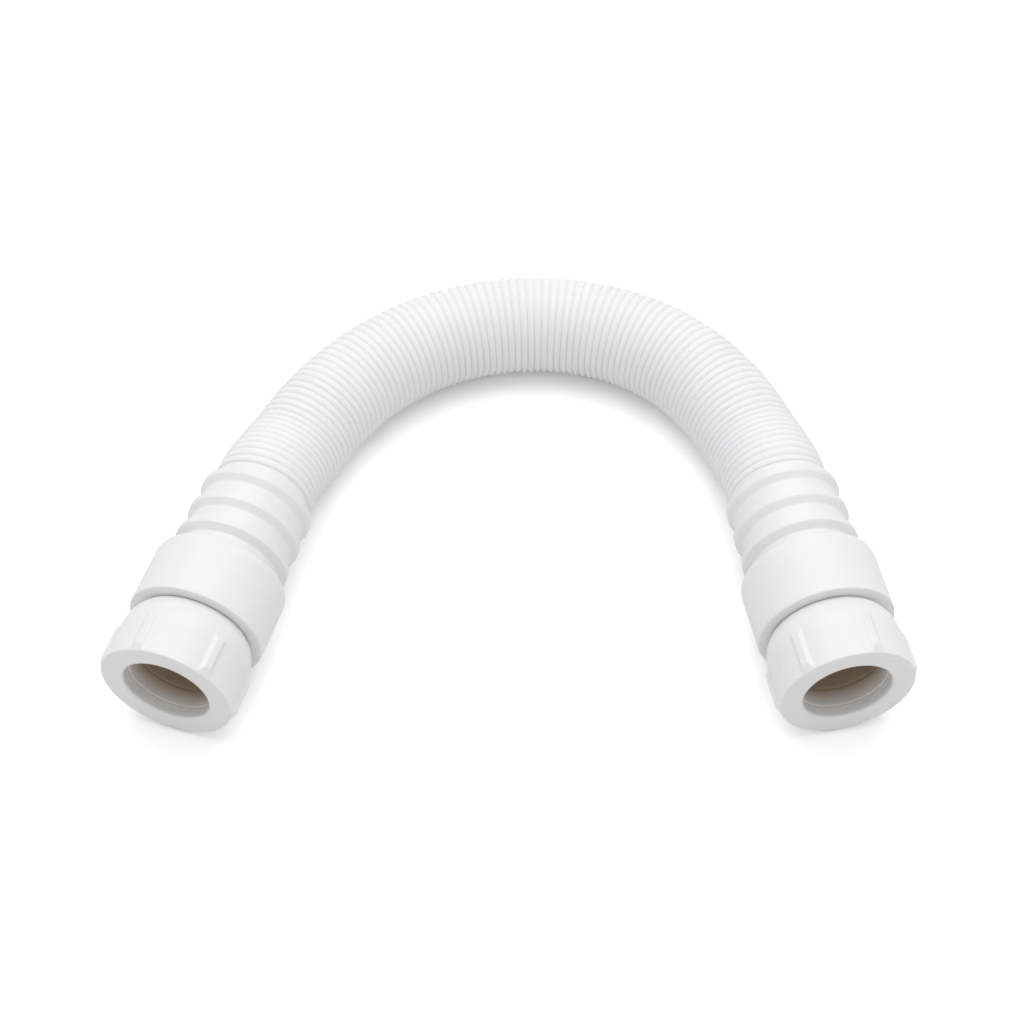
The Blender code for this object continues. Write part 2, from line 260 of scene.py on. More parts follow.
def turned(name, side, outline, angles=None, relief=None):
    """Surface whose point is face + along*inward + radius*(cos(angle)*across + sin(angle)*up)."""
    face, inward, across, up = ends[side]
    if angles is None:
        angles = np.linspace(0.0, math.tau, SIDES, endpoint=False)
    along = outline[:, 0][:, None] * np.ones_like(angles)[None, :]
    radius = outline[:, 1][:, None] * np.ones_like(angles)[None, :]
    if relief is not None:
        radius = relief(along, radius, angles[None, :])
    spoke = np.cos(angles)[:, None] * across + np.sin(angles)[:, None] * up
    grid = face + along[..., None] * inward + radius[..., None] * spoke[None, :, :]
    piece = closed_grid(name, grid)
    mark_bore_shade(piece, along, radius)
    print(name, len(outline), "rings of", len(angles), "points")
    return piece


def mark_bore_shade(piece, along, radius):
    """Attribute of each point for the painted shade in the bore: how far in it is, from 0 to 1, and 0
    outside.
    """
    share = smooth_step((along - BORE_SHADE_START) / (BORE_SHADE_END - BORE_SHADE_START))
    bore_shade = np.where(radius < BORE_LIMIT, share, 0.0)
    layer = piece.data.attributes.new("bore_shade", "FLOAT", "POINT")
    layer.data.foreach_set("value", bore_shade.reshape(-1).astype(np.float32))


def smooth_max(a, b, width):
    """The larger of two arrays, blended over the given width where they meet."""
    share = np.clip(0.5 + 0.5 * (a - b) / width, 0.0, 1.0)
    return b + (a - b) * share + width * share * (1.0 - share)


def smooth_min(a, b, width):
    """The smaller of two arrays, blended over the given width where they meet."""
    return -smooth_max(-a, -b, width)


# %% [markdown]
# ## The screw thread
#
# A coarse thread joins nut and body. Its height depends on one number only: the distance along the
# axis in turns, less the share of the way round. When the nut turns once and moves one pitch, that
# number is the same again, so nut and body never meet, however far the nut is undone. The thread is
# right-handed, as on every waste fitting.

# %% Thread shared by nut and body
THREAD_PITCH = 4.0 * MM
THREAD_MIDDLE = 0.35
THREAD_SLOPE = 0.9
SPIGOT_CREST = 25.4 * MM
SPIGOT_DEPTH = 1.2 * MM
NUT_ROOT = 25.8 * MM
NUT_DEPTH = 1.0 * MM


def thread_height(along, angle, shift=0.0):
    """0 in a groove and 1 on a crest: a triangle wave of along/pitch - angle/turn + shift, cut flat.

    The wave runs from -1 to 1. THREAD_MIDDLE and THREAD_SLOPE set how wide the two flats are.
    """
    turns = along / THREAD_PITCH - angle / math.tau + shift
    wave = 1.0 - 4.0 * np.abs(turns - np.floor(turns) - 0.5)
    return np.clip(THREAD_MIDDLE - THREAD_SLOPE * wave, 0.0, 1.0)


def fade(along, start, finish, length):
    """1 between start and finish, falling smoothly to 0 over length at both ends."""
    return smooth_step(np.minimum((along - start) / length, (finish - along) / length))


# %% [markdown]
# ## The hand nut
#
# The nut is what a hand grips. It has a flat ring-shaped face round the mouth, a straight body with
# six low lugs, and a shoulder that rounds down towards the barrel. Each lug has a short ramp at the
# front, sloping sides and a flat top, and it fades into the shoulder at the back. Modelled as a bar
# stuck on, a lug would leave a hard line all round, so it is made as a relief: at every point the
# nut's radius is the larger of the plain body and the lug's ramp, top and sides.

# %% Nut sizes
MOUTH = 21.2 * MM
MOUTH_LIP = 1.7 * MM
NUT_LENGTH = 35.3 * MM
NUT_RADIUS = 32.6 * MM
NUT_FACE_RADIUS = 32.4 * MM
NUT_FACE_EDGE = 0.8 * MM
NUT_FLANGE = 4.0 * MM
NUT_SHOULDER_START = 19.0 * MM
NUT_REAR_RADIUS = 27.4 * MM
SHOULDER_CUT_DEG = 25.0
LUG_COUNT = 6
LUG_TOP = 34.1 * MM
LUG_HALF_BASE = 3.25 * MM
LUG_HALF_TOP = 1.5 * MM
LUG_START = 0.5 * MM
LUG_RAMP_END = 4.0 * MM
LUG_TOP_END = 19.5 * MM
LUG_END = 26.5 * MM
LUG_SINK = 2.5 * MM
LUG_SIDE_SOFT = 0.35 * MM
LUG_TOP_SOFT = 0.2 * MM
LUG_FOOT_SOFT = 0.3 * MM
LUG_TURN_DEG = {"left": 12.0, "right": -12.0}
NUT_THREAD_START = 7.0 * MM
NUT_THREAD_SETBACK = 0.8 * MM
NUT_THREAD_FADE = 3.0 * MM
NUT_WALL_LEAST = 1.0 * MM
NUT_POINT_GAP = 0.45 * MM


# %% Nut outline
def nut_outline():
    """Closed outline of the nut: along the bore to the rear, back over the shoulder to the face."""
    bore = [(0.0, MOUTH), (NUT_FLANGE, MOUTH), (NUT_FLANGE, NUT_ROOT), (NUT_LENGTH, NUT_ROOT)]
    reach = NUT_LENGTH - NUT_SHOULDER_START
    shoulder = quarter_shoulder(NUT_LENGTH, reach, NUT_REAR_RADIUS, NUT_RADIUS, SHOULDER_CUT_DEG)
    bore_radii = [MOUTH_LIP, 0.15 * MM, 0.3 * MM, 0.4 * MM]
    shoulder_radii = [0.3 * MM] + [0.2 * MM] * (SHOULDER_POINTS - 1)
    outline = bore + shoulder + [(0.0, NUT_FACE_RADIUS)]
    radii = bore_radii + shoulder_radii + [NUT_FACE_EDGE]
    return spaced(rounded(outline, radii), NUT_POINT_GAP)


# %% [markdown]
# The lugs need points exactly where their sides begin and end. Evenly spaced columns would miss
# these lines and leave ragged edges, so the columns are crowded together round each lug. Counted in
# degrees from the middle of a lug, they lie on its flat top, down its side and on the plain body.

# %% Nut columns and relief
TOP_COLUMNS_DEG = np.linspace(0.0, 2.0, 4)
SIDE_COLUMNS_DEG = np.linspace(2.3, 6.4, 15)
PLAIN_COLUMNS_DEG = np.linspace(7.2, 28.4, 11)


def lug_columns(turn_deg):
    """Angles round the nut, crowded at the edges of each lug and wide apart between lugs."""
    half = np.concatenate([TOP_COLUMNS_DEG, SIDE_COLUMNS_DEG, PLAIN_COLUMNS_DEG])
    offsets = np.concatenate([-half[:0:-1], half])
    centres = turn_deg + 360.0 / LUG_COUNT * np.arange(LUG_COUNT)
    return np.radians((centres[:, None] + offsets[None, :]).reshape(-1))


def nut_relief(side):
    """Relief of the nut: lugs on its outside, thread in its bore."""
    turn = math.radians(LUG_TURN_DEG[side])
    spacing = math.tau / LUG_COUNT
    slope = (LUG_TOP - NUT_RADIUS) / (LUG_HALF_BASE - LUG_HALF_TOP)
    ramp_at = [LUG_START, LUG_RAMP_END, LUG_TOP_END, LUG_END]
    ramp_radius = [NUT_FACE_RADIUS, LUG_TOP, LUG_TOP, NUT_RADIUS - LUG_SINK]

    def relief(along, radius, angle):
        offset = (angle - turn + spacing / 2) % spacing - spacing / 2
        sideways = np.abs(radius * np.sin(offset))
        flank = NUT_RADIUS + slope * (LUG_HALF_BASE - sideways)
        ramp = np.interp(along, ramp_at, ramp_radius)
        lug = smooth_min(smooth_min(ramp, flank, LUG_SIDE_SOFT), LUG_TOP, LUG_TOP_SOFT)
        outside = (radius > NUT_ROOT + NUT_WALL_LEAST) & (along > LUG_START) & (along < LUG_END)
        raised = np.where(outside, smooth_max(radius, lug, LUG_FOOT_SOFT), radius)
        bore = (np.abs(radius - NUT_ROOT) < SAME_RADIUS).astype(float)
        thread_end = NUT_LENGTH - NUT_THREAD_SETBACK
        strength = bore * fade(along, NUT_THREAD_START, thread_end, NUT_THREAD_FADE)
        return raised - strength * NUT_DEPTH * thread_height(along, angle, 0.5)

    return relief


nuts = {}
for side in ends:
    columns = lug_columns(LUG_TURN_DEG[side])
    nuts[side] = turned(side + "_hand_nut", side, nut_outline(), columns, nut_relief(side))

# %% [markdown]
# ## The socket body
#
# The body is one moulding: a threaded spigot that the nut screws onto, a flat step, and a fat barrel
# that is open at the rear for the cuff. The spigot's mouth is coned to squeeze the seal, and a small
# ledge inside stops the pipe. Only the step and the barrel show, but the rest is made too, because
# it comes into view when the nut is undone and through the open mouth.

# %% Body sizes
SPIGOT_FRONT = 10.0 * MM
SPIGOT_BORE = 21.4 * MM
CONE_FRONT_RADIUS = 24.3 * MM
CONE_END = 17.1 * MM
STOP_START = 38.6 * MM
STOP_RADIUS = 19.2 * MM
STEP_AT = 35.6 * MM
SOCKET_FLOOR = 41.6 * MM
SOCKET_RADIUS = 29.3 * MM
BARREL_RADIUS = 33.4 * MM
BARREL_END = 69.4 * MM
BARREL_SHOULDER = 5.0 * MM
BARREL_REAR_RADIUS = 31.4 * MM
SPIGOT_THREAD_START = 0.4 * MM
SPIGOT_THREAD_SETBACK = 1.5 * MM
SPIGOT_THREAD_FADE = 2.5 * MM
BODY_POINT_GAP = 0.5 * MM


# %% Socket body
def body_outline():
    """Closed outline of the body: in by the spigot's bore, round the socket, back on the outside."""
    inside = [
        (SPIGOT_FRONT, CONE_FRONT_RADIUS),
        (CONE_END, SPIGOT_BORE),
        (STOP_START, SPIGOT_BORE),
        (STOP_START, STOP_RADIUS),
        (SOCKET_FLOOR, STOP_RADIUS),
        (SOCKET_FLOOR, SOCKET_RADIUS),
        (BARREL_END, SOCKET_RADIUS),
    ]
    shoulder = quarter_shoulder(BARREL_END, BARREL_SHOULDER, BARREL_REAR_RADIUS, BARREL_RADIUS)
    front = [(STEP_AT, BARREL_RADIUS), (STEP_AT, SPIGOT_CREST), (SPIGOT_FRONT, SPIGOT_CREST)]
    radii = [0.3 * MM] * len(inside + shoulder) + [0.9 * MM, 0.5 * MM, 0.4 * MM]
    return spaced(rounded(inside + shoulder + front, radii), BODY_POINT_GAP)


def body_relief(along, radius, angle):
    """Thread cut into the spigot, fading out before the step."""
    spigot = (np.abs(radius - SPIGOT_CREST) < SAME_RADIUS).astype(float)
    thread_start = SPIGOT_FRONT + SPIGOT_THREAD_START
    thread_end = STEP_AT - SPIGOT_THREAD_SETBACK
    strength = spigot * fade(along, thread_start, thread_end, SPIGOT_THREAD_FADE)
    return radius - strength * SPIGOT_DEPTH * (1.0 - thread_height(along, angle))


bodies = {side: turned(side + "_socket", side, body_outline(), relief=body_relief) for side in ends}

# %% [markdown]
# ## Seal and washer
#
# The tapered rubber seal sits in the cone of the spigot, and the slip washer in front of it lets the
# nut turn without dragging the seal round. Both are plain turned rings with soft edges. Through the
# open mouth the seal's bore shows as a smooth band, with no lips on it.

# %% Seal and washer
SEAL_FRONT = 6.3 * MM
SEAL_BACK = 15.3 * MM
SEAL_BORE = 20.9 * MM
SEAL_RADIUS = 24.6 * MM
SEAL_BAND = 2.2 * MM
SEAL_TAIL_RADIUS = 21.8 * MM
WASHER_FRONT = 4.1 * MM
WASHER_BACK = 6.2 * MM
WASHER_BORE = 21.1 * MM
WASHER_RADIUS = 25.5 * MM
SEAL_EDGES = np.array([0.9, 0.35, 0.35, 0.35, 0.35]) * MM
WASHER_EDGE = 0.15 * MM
SEAL_POINT_GAP = 0.6 * MM
WASHER_POINT_GAP = 0.8 * MM

seal_outline = [
    (SEAL_FRONT, SEAL_BORE),
    (SEAL_BACK, SEAL_BORE),
    (SEAL_BACK, SEAL_TAIL_RADIUS),
    (SEAL_FRONT + SEAL_BAND, SEAL_RADIUS),
    (SEAL_FRONT, SEAL_RADIUS),
]
washer_outline = [
    (WASHER_FRONT, WASHER_BORE),
    (WASHER_BACK, WASHER_BORE),
    (WASHER_BACK, WASHER_RADIUS),
    (WASHER_FRONT, WASHER_RADIUS),
]
seal_points = spaced(rounded(seal_outline, SEAL_EDGES), SEAL_POINT_GAP)
washer_points = spaced(rounded(washer_outline, WASHER_EDGE), WASHER_POINT_GAP)
seals = {}
washers = {}
for side in ends:
    seals[side] = turned(side + "_taper_seal", side, seal_points)
    washers[side] = turned(side + "_slip_ring", side, washer_points)

# %% [markdown]
# ## The ribbed cuff
#
# The cuff holds the end of the hose and is glued into the barrel. Three thin ribs show behind the
# barrel and two more sit inside it. Seen from the nut, each rib rises on a slope, runs level for
# three millimetres and drops steeply at the back. The rib nearest the hose is a little lower than the
# next one. Behind it the cuff's short tail is as thick as one ring of the hose, so the rings seem to
# start at the rib.

# %% Cuff sizes
CUFF_FRONT = 41.9 * MM
CUFF_END = 119.6 * MM
CUFF_BORE = 22.6 * MM
CUFF_SEAT = 24.4 * MM
CUFF_SEAT_START = 87.6 * MM
CUFF_RADIUS = 26.1 * MM
CUFF_TAIL = 25.6 * MM
CUFF_TAIL_ROOT = 24.7 * MM
CUFF_POINT_GAP = 1.2 * MM
RIB_COUNT = 5
RIB_STARTS = (110.7 - 15.6 * np.arange(RIB_COUNT)) * MM
RIB_THICKNESS = 3.3 * MM
RIB_SLOPE = 3.3 * MM
RIB_BACK = 0.8 * MM
RIB_CREST = 29.0 * MM
RIB_DROPS = np.array([0.6, 0.3, 0.0, 0.0, 0.0]) * MM


# %% Ribbed cuff
def cuff_outline():
    """Closed outline of the cuff: bore, seat for the hose, then the ribs from rear to front."""
    crest = RIB_CREST - RIB_DROPS
    front_foot = np.full(RIB_COUNT, CUFF_RADIUS)
    back_foot = np.append(CUFF_TAIL_ROOT, front_foot[1:])
    ribs = np.stack(
        [
            np.stack([RIB_STARTS + RIB_THICKNESS + RIB_BACK, back_foot], axis=1),
            np.stack([RIB_STARTS + RIB_THICKNESS, crest], axis=1),
            np.stack([RIB_STARTS, crest], axis=1),
            np.stack([RIB_STARTS - RIB_SLOPE, front_foot], axis=1),
        ],
        axis=1,
    ).reshape(-1, 2)
    start = [
        (CUFF_FRONT, CUFF_BORE),
        (CUFF_SEAT_START, CUFF_BORE),
        (CUFF_SEAT_START, CUFF_SEAT),
        (CUFF_END, CUFF_SEAT),
        (CUFF_END, CUFF_TAIL_ROOT),
        (CUFF_END - 1.0 * MM, CUFF_TAIL),
        (CUFF_END - 3.6 * MM, CUFF_TAIL),
    ]
    outline = start + [tuple(point) for point in ribs] + [(CUFF_FRONT, CUFF_RADIUS)]
    start_radii = [0.4 * MM, 0.3 * MM, 0.3 * MM, 0.1 * MM, 0.1 * MM, 0.8 * MM, 0.8 * MM]
    rib_radii = [0.4 * MM, 0.3 * MM, 0.35 * MM, 0.5 * MM] * RIB_COUNT
    return spaced(rounded(outline, start_radii + rib_radii + [0.6 * MM]), CUFF_POINT_GAP)


cuffs = {side: turned(side + "_ribbed_cuff", side, cuff_outline()) for side in ends}

# %% [markdown]
# ## The path of the hose
#
# The hose lies on the floor in an arch. Its two ends are held higher, at the middle of the fittings,
# so it comes straight out of each cuff and eases down to the floor. Seen from above, its heading
# turns by 151.6 degrees from one cuff to the other, a little faster in the middle than at the ends.
# The path is the running sum of short steps along that heading, which keeps its length exact.

# %% Centre line of the hose
HOSE_RADIUS = 25.3 * MM
HOSE_LENGTH = 384.0 * MM
HOSE_LEAD = 4.2 * MM
HOSE_GRIP = 31.7 * MM
BEND_START_DEG = 101.05
BEND_TURN_DEG = 151.55
BEND_MIDDLE_SHARE = 0.289
BEND_SKEW = 0.127
BEND_FLATTEN = 0.151
SETTLE_LENGTH = 40.0 * MM
AXIS_HEIGHT = ends["right"][0][2]
BEND_STEPS = 480
GRIP_POINTS = 12


def hose_route():
    """Points of the centre line from inside the right cuff to inside the left one.

    The heading at a share u of the bend is the start plus the turn times the running sum of
    1 - a cos(2 pi u) + b sin(2 pi u) - c cos(4 pi u). The height falls from the fittings' axis to
    the hose's own radius while SETTLE_LENGTH is passed.
    """
    count = BEND_STEPS
    length = HOSE_LENGTH - 2 * HOSE_LEAD
    share = np.linspace(0.0, 1.0, count + 1)
    wave = math.tau * share
    turning = 1.0 - BEND_MIDDLE_SHARE * np.cos(wave) + BEND_SKEW * np.sin(wave)
    turning = turning - BEND_FLATTEN * np.cos(2 * wave)
    summed = np.concatenate([[0.0], np.cumsum((turning[1:] + turning[:-1]) / 2) / count])
    heading = math.radians(BEND_START_DEG) + math.radians(BEND_TURN_DEG) * summed
    middle = (heading[1:] + heading[:-1]) / 2
    x = np.concatenate([[0.0], np.cumsum(np.cos(middle))]) * length / count
    y = np.concatenate([[0.0], np.cumsum(np.sin(middle))]) * length / count
    passed = np.minimum(share, 1.0 - share) * length / SETTLE_LENGTH
    z = AXIS_HEIGHT + (HOSE_RADIUS - AXIS_HEIGHT) * smooth_step(passed)
    bend = np.stack([x, y, z], axis=1)
    face, inward = ends["right"][:2]
    bend[:, :2] += (face + inward * (CUFF_END + HOSE_LEAD))[:2]
    last = np.array([math.cos(heading[-1]), math.sin(heading[-1]), 0.0])
    lead = np.linspace(-HOSE_GRIP - HOSE_LEAD, 0.0, GRIP_POINTS)[:-1, None]
    before = bend[0] + inward * lead
    after = bend[-1] - last * lead[::-1]
    return np.vstack([before, bend, after])


route = hose_route()
steps = np.linalg.norm(np.diff(route, axis=0), axis=1)
walked = np.concatenate([[0.0], np.cumsum(steps)])
left_face, left_inward = ends["left"][:2]
miss = np.linalg.norm(route[-1] - left_face - left_inward * (CUFF_END - HOSE_GRIP))
print("hose line", round(walked[-1], 4), "m, misses the left cuff by", round(miss / MM, 3), "mm")

# %% [markdown]
# ## The ribbed hose
#
# The wall of a hose like this is a row of small rounded rings, one every 4.2 mm, with a narrow groove
# between neighbours. The ring's section is the absolute value of a sine, raised to a power below one
# to make it fuller. The bore follows the rings more gently. Both are one grid: the rows run along the
# outside of the hose, round its plain end, and back along the bore.

# %% Hose wall
HOSE_SIDES = 72
RING_COUNT = 92
RING_HEIGHT = 1.4 * MM
RING_STOPS = np.array([0.0, 0.05, 0.13, 0.27, 0.5, 0.73, 0.87, 0.95])
HOSE_ROOT = HOSE_RADIUS - RING_HEIGHT
RING_POWER = 0.6
RING_PITCH = HOSE_LENGTH / RING_COUNT
PLAIN_RADIUS = 24.1 * MM
HOSE_BORE = 22.6 * MM
BORE_WAVE = 0.5 * MM
BORE_ROWS = 3
END_EDGE = 0.4 * MM
END_BORE_EDGE = 0.2 * MM
END_BORE_LENGTH = 2.0 * MM
RING_SETBACK = 0.6 * MM


def hose_profile():
    """Distance along the line and radius of every row: outside, round the end, and back inside."""
    free = HOSE_GRIP + HOSE_LENGTH
    total = HOSE_LENGTH + 2 * HOSE_GRIP
    rings = (np.arange(RING_COUNT)[:, None] + RING_STOPS[None, :]).reshape(-1)
    rings = np.append(rings, RING_COUNT)
    full = np.abs(np.sin(math.pi * rings)) ** RING_POWER
    outside = np.stack([HOSE_GRIP + rings * RING_PITCH, HOSE_ROOT + RING_HEIGHT * full], axis=1)
    soft = np.linspace(RING_COUNT, 0.0, RING_COUNT * BORE_ROWS + 1)
    gentle = np.sin(math.pi * soft) ** 2
    bore = np.stack([HOSE_GRIP + soft * RING_PITCH, HOSE_BORE + BORE_WAVE * gentle], axis=1)
    plain_start = [(END_EDGE, PLAIN_RADIUS), (HOSE_GRIP - RING_SETBACK, PLAIN_RADIUS)]
    plain_end = [(free + RING_SETBACK, PLAIN_RADIUS), (total - END_EDGE, PLAIN_RADIUS)]
    bore_end = [
        (total, PLAIN_RADIUS - END_EDGE),
        (total, HOSE_BORE + END_BORE_EDGE),
        (total - END_BORE_LENGTH, HOSE_BORE),
    ]
    bore_start = [
        (END_BORE_LENGTH, HOSE_BORE),
        (0.0, HOSE_BORE + END_BORE_EDGE),
        (0.0, PLAIN_RADIUS - END_EDGE),
    ]
    return np.vstack([plain_start, outside, plain_end, bore_end, bore, bore_start])


# %% [markdown]
# A ring must stand square to the line it is threaded on. At each row the line's direction is found
# from the points on both sides of it. The level direction across the line and the direction at right
# angles to both then carry the ring. Where the hose eases down to the floor its rings slide on each
# other more than they lean, so they take only a share of the line's fall.


# %% Hose
RING_LEAN = 0.25


def along_route(distance):
    """Point, level direction across the line and direction upwards at each distance along it."""
    point = np.stack([np.interp(distance, walked, route[:, axis]) for axis in range(3)], axis=1)
    slope = np.gradient(route, walked, axis=0)
    slope[:, 2] *= RING_LEAN
    tangent = np.stack([np.interp(distance, walked, slope[:, axis]) for axis in range(3)], axis=1)
    tangent /= np.linalg.norm(tangent, axis=1, keepdims=True)
    across = np.cross(np.array([0.0, 0.0, 1.0]), tangent)
    across /= np.linalg.norm(across, axis=1, keepdims=True)
    return point, across, np.cross(tangent, across)


def make_hose():
    """Rings carried along the route: point + radius*(cos(angle)*across + sin(angle)*upwards)."""
    profile = hose_profile()
    angles = np.linspace(0.0, math.tau, HOSE_SIDES, endpoint=False)
    point, across, upwards = along_route(profile[:, 0])
    level = np.cos(angles)[None, :, None] * across[:, None]
    rising = np.sin(angles)[None, :, None] * upwards[:, None]
    grid = point[:, None] + profile[:, 1][:, None, None] * (level + rising)
    print("hose", grid.shape[0], "rows of", grid.shape[1], "points")
    return closed_grid("ribbed_hose", grid[::-1])


hose = make_hose()

# %% [markdown]
# ## White moulded plastic
#
# The fittings are injection moulded from white polypropylene. Close up such a surface is never
# perfectly even: it has a very fine grain from the mould, long soft waves where the plastic shrank as
# it cooled, and a gloss that changes a little from place to place. Three noises of different size
# give these three, and the colour changes by only one or two percent. A little light goes into the
# plastic and comes out again beside it, which softens the edges of shadows.


# %% Helpers for materials
# Painted shade: this warm dark colour stands for the shade deep inside the bore.
BORE_PAINTED_SHADE = (0.48, 0.37, 0.27, 1.0)
SCATTER_BY_COLOUR = (1.0, 0.85, 0.7)


def new_material(name):
    """A new material, its nodes and its links."""
    material = bpy.data.materials.new(name)
    material.use_nodes = True
    return material, material.node_tree.nodes, material.node_tree.links


def add_noise(nodes, links, coordinates, scale, detail, roughness=0.5):
    """Noise of a given number of waves per metre, with that many finer layers on top."""
    noise = nodes.new("ShaderNodeTexNoise")
    noise.inputs["Scale"].default_value = scale
    noise.inputs["Detail"].default_value = detail
    noise.inputs["Roughness"].default_value = roughness
    links.new(coordinates, noise.inputs["Vector"])
    return noise.outputs["Fac"]


def add_range(nodes, links, value, low, high, start=0.3, finish=0.7):
    """Stretch the values from start to finish over low to high. Most of a noise is 0.3 to 0.7."""
    ranged = nodes.new("ShaderNodeMapRange")
    ranged.inputs["From Min"].default_value = start
    ranged.inputs["From Max"].default_value = finish
    ranged.inputs["To Min"].default_value = low
    ranged.inputs["To Max"].default_value = high
    links.new(value, ranged.inputs["Value"])
    return ranged.outputs["Result"]


def add_blend(nodes, links, share, first, second):
    """Colour that runs from first to second as share runs from 0 to 1."""
    mix = nodes.new("ShaderNodeMix")
    mix.data_type = "RGBA"
    mix.inputs["A"].default_value = (*first, 1.0)
    mix.inputs["B"].default_value = (*second, 1.0)
    links.new(share, mix.inputs["Factor"])
    return mix.outputs["Result"]


def add_painted_bore_shade(nodes, links, colour):
    """Run a colour over to the painted warm shade of the bore, by the points' attribute for it."""
    bore_shade = nodes.new("ShaderNodeAttribute")
    bore_shade.attribute_name = "bore_shade"
    mix = nodes.new("ShaderNodeMix")
    mix.data_type = "RGBA"
    mix.inputs["B"].default_value = BORE_PAINTED_SHADE
    links.new(colour, mix.inputs["A"])
    links.new(bore_shade.outputs["Fac"], mix.inputs["Factor"])
    return mix.outputs["Result"]


def add_bump(nodes, links, height, distance, under=None):
    """Bump of a height that is measured in metres by distance, on top of another bump."""
    bump = nodes.new("ShaderNodeBump")
    bump.inputs["Strength"].default_value = 1.0
    bump.inputs["Distance"].default_value = distance
    links.new(height, bump.inputs["Height"])
    if under is not None:
        links.new(under, bump.inputs["Normal"])
    return bump.outputs["Normal"]


def set_plastic(shader, ior, specular, weight, spread):
    """Gloss of the surface, and the share of light that goes in and how far it spreads in metres."""
    shader.inputs["IOR"].default_value = ior
    shader.inputs["Specular IOR Level"].default_value = specular
    shader.inputs["Subsurface Weight"].default_value = weight
    shader.inputs["Subsurface Radius"].default_value = SCATTER_BY_COLOUR
    shader.inputs["Subsurface Scale"].default_value = spread


# %% Moulded plastic
def moulded_plastic(name, light, dark, gloss, grain):
    """Moulded plastic: colour from light to dark, roughness range, grain height in metres."""
    material, nodes, links = new_material(name)
    shader = nodes["Principled BSDF"]
    place = nodes.new("ShaderNodeTexCoord").outputs["Object"]
    clouds = add_noise(nodes, links, place, scale=38.0, detail=3.0)
    white = add_blend(nodes, links, add_range(nodes, links, clouds, 0.0, 1.0), light, dark)
    # The colour runs over to a painted shade deep inside the bore.
    links.new(add_painted_bore_shade(nodes, links, white), shader.inputs["Base Color"])
    patches = add_noise(nodes, links, place, scale=160.0, detail=4.0, roughness=0.6)
    links.new(add_range(nodes, links, patches, gloss[0], gloss[1]), shader.inputs["Roughness"])
    shrinkage = add_noise(nodes, links, place, scale=70.0, detail=1.0)
    waves = add_bump(nodes, links, shrinkage, distance=0.0002)
    fine = add_noise(nodes, links, place, scale=1500.0, detail=2.0)
    links.new(add_bump(nodes, links, fine, distance=grain, under=waves), shader.inputs["Normal"])
    set_plastic(shader, ior=1.49, specular=0.45, weight=0.06, spread=0.002)
    return material


COOL_WHITES = ((0.86, 0.86, 0.865), (0.84, 0.84, 0.845))
WARM_WHITES = ((0.86, 0.86, 0.85), (0.84, 0.84, 0.83))
fitting_white = moulded_plastic("fitting_white", *COOL_WHITES, gloss=(0.3, 0.42), grain=0.000006)
nut_white = moulded_plastic("nut_white", *COOL_WHITES, gloss=(0.26, 0.4), grain=0.000008)
washer_white = moulded_plastic("washer_white", *WARM_WHITES, gloss=(0.25, 0.35), grain=0.00001)

# %% [markdown]
# ## Hose plastic and seal rubber
#
# The hose is blown from a softer plastic, duller than the fittings. The seal is matt rubber in a warm
# pale grey.

# %% Hose plastic and rubber
HOSE_WHITES = ((0.885, 0.885, 0.895), (0.86, 0.86, 0.87))
RUBBER_GREYS = ((0.8, 0.78, 0.76), (0.84, 0.82, 0.8))


def hose_plastic():
    """Softer, duller plastic whose colour changes slowly from place to place."""
    material, nodes, links = new_material("hose_white")
    shader = nodes["Principled BSDF"]
    place = nodes.new("ShaderNodeTexCoord").outputs["Object"]
    clouds = add_noise(nodes, links, place, scale=30.0, detail=3.0)
    colour = add_blend(nodes, links, add_range(nodes, links, clouds, 0.0, 1.0), *HOSE_WHITES)
    links.new(colour, shader.inputs["Base Color"])
    patches = add_noise(nodes, links, place, scale=220.0, detail=3.0)
    links.new(add_range(nodes, links, patches, 0.38, 0.52), shader.inputs["Roughness"])
    fine = add_noise(nodes, links, place, scale=1100.0, detail=3.0)
    links.new(add_bump(nodes, links, fine, distance=0.000015), shader.inputs["Normal"])
    set_plastic(shader, ior=1.48, specular=0.4, weight=0.08, spread=0.0015)
    return material


def seal_rubber():
    """Matt rubber with a dusty bloom in uneven patches."""
    material, nodes, links = new_material("seal_rubber")
    shader = nodes["Principled BSDF"]
    place = nodes.new("ShaderNodeTexCoord").outputs["Object"]
    dust = add_noise(nodes, links, place, scale=120.0, detail=5.0, roughness=0.65)
    bloom = add_range(nodes, links, dust, 0.0, 1.0)
    grey = add_blend(nodes, links, bloom, *RUBBER_GREYS)
    # The grey runs over to a painted shade deep inside the bore.
    links.new(add_painted_bore_shade(nodes, links, grey), shader.inputs["Base Color"])
    links.new(add_range(nodes, links, bloom, 0.62, 0.8), shader.inputs["Roughness"])
    fine = add_noise(nodes, links, place, scale=2400.0, detail=3.0)
    links.new(add_bump(nodes, links, fine, distance=0.00004), shader.inputs["Normal"])
    shader.inputs["Specular IOR Level"].default_value = 0.3
    return material


hose_white = hose_plastic()
rubber = seal_rubber()

# %% [markdown]
# ## Putting the pieces on the frame
#
# Each finished piece gets its material and is hung on the moving body that carries it, and the plain
# solid that it stands for is hidden.


# %% Dress one piece
def dress(piece, material, body, node):
    """Give a piece its material and its body, and hide the solid that it replaces."""
    piece.data.materials.append(material)
    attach(piece, body)
    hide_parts(node)


ROOT = "hose_and_fittings"
for side in ends:
    dress(nuts[side], nut_white, side + "_nut", side + "_nut")
    dress(washers[side], washer_white, side + "_washer", side + "_washer")
    dress(seals[side], rubber, ROOT, side + "_seal")
    dress(bodies[side], fitting_white, ROOT, side + "_body")
    dress(cuffs[side], fitting_white, ROOT, side + "_cuff")
dress(hose, hose_white, ROOT, "hose")

# %% [markdown]
# ## Floor, light and background
#
# The photograph is a cut-out on white: a bright, even light from a large source above, and only a
# soft shadow close to the object. A wide lamp overhead and a pale sky do that. The floor is white, and
# only the camera sees it brighter than it is, so it reaches white while its close shadow stays dark.
# Far from the object, where the lamp no longer reaches, the camera sees plain white instead.

